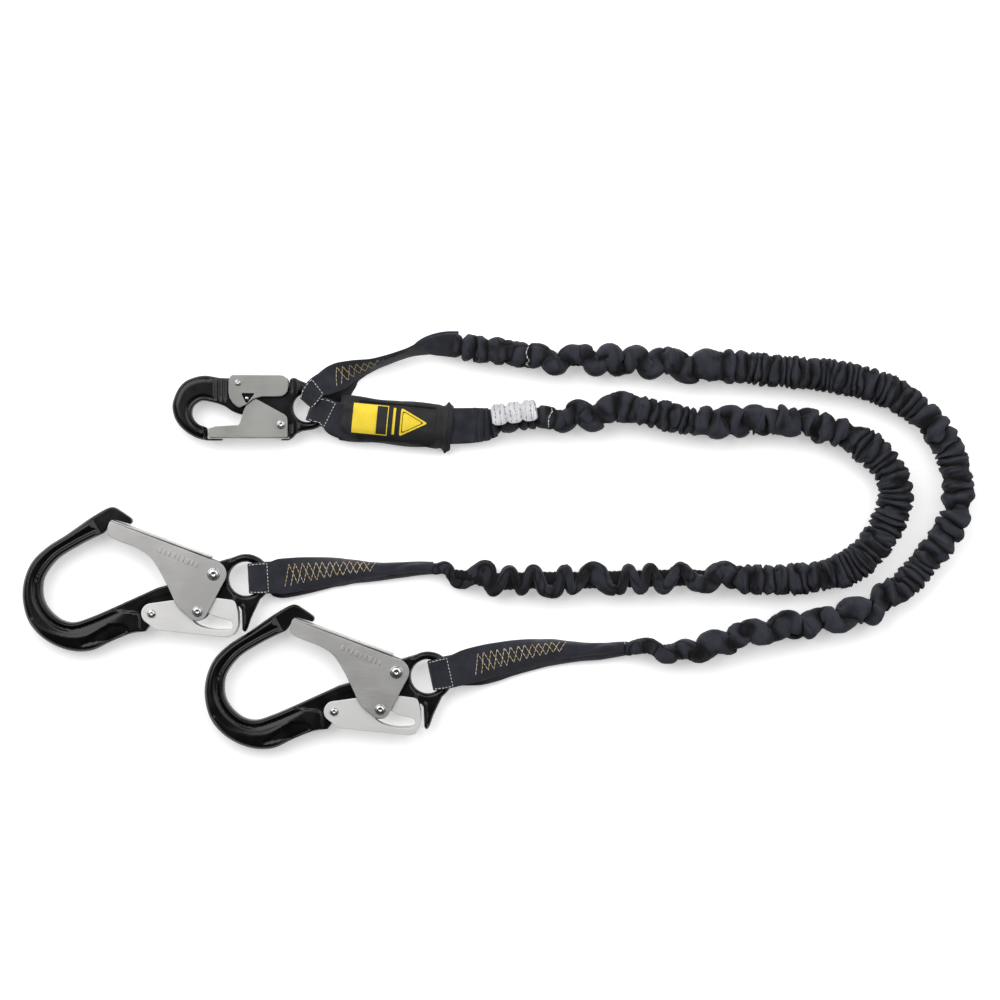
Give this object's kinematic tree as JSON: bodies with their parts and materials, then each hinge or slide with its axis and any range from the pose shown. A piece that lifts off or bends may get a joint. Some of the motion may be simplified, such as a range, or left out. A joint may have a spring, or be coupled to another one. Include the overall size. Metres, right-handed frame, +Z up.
{
  "type": "shock absorbing lanyard",
  "caption": "Twin-leg shock absorbing lanyard: gathered stretch legs, a shock pack, a double-locking snap hook and large double-locking scaffold hooks.",
  "frame": {"origin": "middle of the shock pack's flat underside, on the table the lanyard lies on", "axes": "+X along the legs, away from the snap hook; +Z up; +Y towards the snap hook's side"},
  "size_m": [0.8562, 0.3783, 0.0324],
  "materials": {
    "webbing": "woven polyester webbing, dark charcoal",
    "cover": "close woven black cover",
    "elastic": "braided elastic",
    "label": "printed label",
    "tag": "coated white tag",
    "black_alloy": "glossy black anodised forging",
    "plate": "satin pressed plate",
    "steel": "turned rivet"
  },
  "bodies": {
    "legs": {"pack_cover": "cover", "pack_label": "label", "tear_web": "webbing", "link_web": "webbing", "inspection_tag": "tag", "leg_a_snap_strap": "webbing", "leg_a_snap_wear_pad": "webbing", "leg_b_snap_strap": "webbing", "leg_b_snap_wear_pad": "webbing", "leg_a_end_strap": "webbing", "leg_a_end_wear_pad": "webbing", "leg_b_end_strap": "webbing", "leg_b_end_wear_pad": "webbing", "leg_a_gathered_web": "webbing", "leg_a_elastic_core": "elastic", "leg_b_gathered_web": "webbing", "leg_b_elastic_core": "elastic"},
    "snap_hook": {"snap_body": "black_alloy", "snap_gate_rivet": "steel", "snap_lever_rivet": "steel", "snap_stop_pin": "steel", "snap_gate_spring": "steel", "snap_lever_spring": "steel"},
    "snap_gate": {"snap_gate": "plate"},
    "snap_lever": {"snap_lock_lever": "plate"},
    "hook_a": {"hook_a_body": "black_alloy", "hook_a_gate_rivet": "steel", "hook_a_lever_rivet": "steel", "hook_a_gate_spring": "steel", "hook_a_lever_spring": "steel"},
    "hook_a_gate": {"hook_a_gate": "plate", "hook_a_lock_pin": "steel"},
    "hook_a_lever": {"hook_a_lock_lever": "plate"},
    "hook_b": {"hook_b_body": "black_alloy", "hook_b_gate_rivet": "steel", "hook_b_lever_rivet": "steel", "hook_b_gate_spring": "steel", "hook_b_lever_spring": "steel"},
    "hook_b_gate": {"hook_b_gate": "plate", "hook_b_lock_pin": "steel"},
    "hook_b_lever": {"hook_b_lock_lever": "plate"}
  },
  "joints": [
    {"name": "snap_swing", "type": "hinge", "parent": "legs", "child": "snap_hook", "pos_m": [-0.06312, 0.01794, 0.0122], "axis": [-0.2588, 0.9659, 0], "range_deg": [-24, 24]},
    {"name": "snap_gate_turn", "type": "hinge", "parent": "snap_hook", "child": "snap_gate", "pos_m": [-0.1028, -0.0019, 0.0122], "axis": [0, 0, 1], "range_deg": [-24, 0], "stiffness_Nm_per_rad": 0.25, "springref_deg": 28.65},
    {"name": "snap_lever_press", "type": "hinge", "parent": "snap_hook", "child": "snap_lever", "pos_m": [-0.1413, 0.0356, 0.0122], "axis": [0, 0, 1], "range_deg": [-11, 0], "stiffness_Nm_per_rad": 0.25, "springref_deg": 28.65, "deforming": ["snap_lever_spring"]},
    {"name": "hook_a_swing", "type": "hinge", "parent": "legs", "child": "hook_a", "pos_m": [-0.11608, -0.13961, 0.0122], "axis": [-0.0523, 0.9986, 0], "range_deg": [-60, 60]},
    {"name": "hook_a_gate_turn", "type": "hinge", "parent": "hook_a", "child": "hook_a_gate", "pos_m": [-0.1629, -0.1361, 0.0122], "axis": [0, 0, 1], "range_deg": [0, 42], "stiffness_Nm_per_rad": 0.3, "springref_deg": -28.65},
    {"name": "hook_a_lever_squeeze", "type": "hinge", "parent": "hook_a", "child": "hook_a_lever", "pos_m": [-0.2189, -0.1716, 0.0122], "axis": [0, 0, 1], "range_deg": [0, 9.5], "stiffness_Nm_per_rad": 0.3, "springref_deg": -28.65},
    {"name": "hook_b_swing", "type": "hinge", "parent": "legs", "child": "hook_b", "pos_m": [0.04744, -0.22458, 0.0122], "axis": [-0.2079, 0.9781, 0], "range_deg": [-60, 60]},
    {"name": "hook_b_gate_turn", "type": "hinge", "parent": "hook_b", "child": "hook_b_gate", "pos_m": [0.001, -0.224, 0.0122], "axis": [0, 0, 1], "range_deg": [0, 42], "stiffness_Nm_per_rad": 0.3, "springref_deg": -28.65},
    {"name": "hook_b_lever_squeeze", "type": "hinge", "parent": "hook_b", "child": "hook_b_lever", "pos_m": [-0.055, -0.2595, 0.0122], "axis": [0, 0, 1], "range_deg": [0, 9.5], "stiffness_Nm_per_rad": 0.3, "springref_deg": -28.65}
  ],
  "couplings": [
    {"joint": "snap_lever_press", "follows": "snap_gate_turn", "ratio": 0.45},
    {"joint": "hook_a_lever_squeeze", "follows": "hook_a_gate_turn", "ratio": 0.2261},
    {"joint": "hook_b_lever_squeeze", "follows": "hook_b_gate_turn", "ratio": 0.2261}
  ]
}
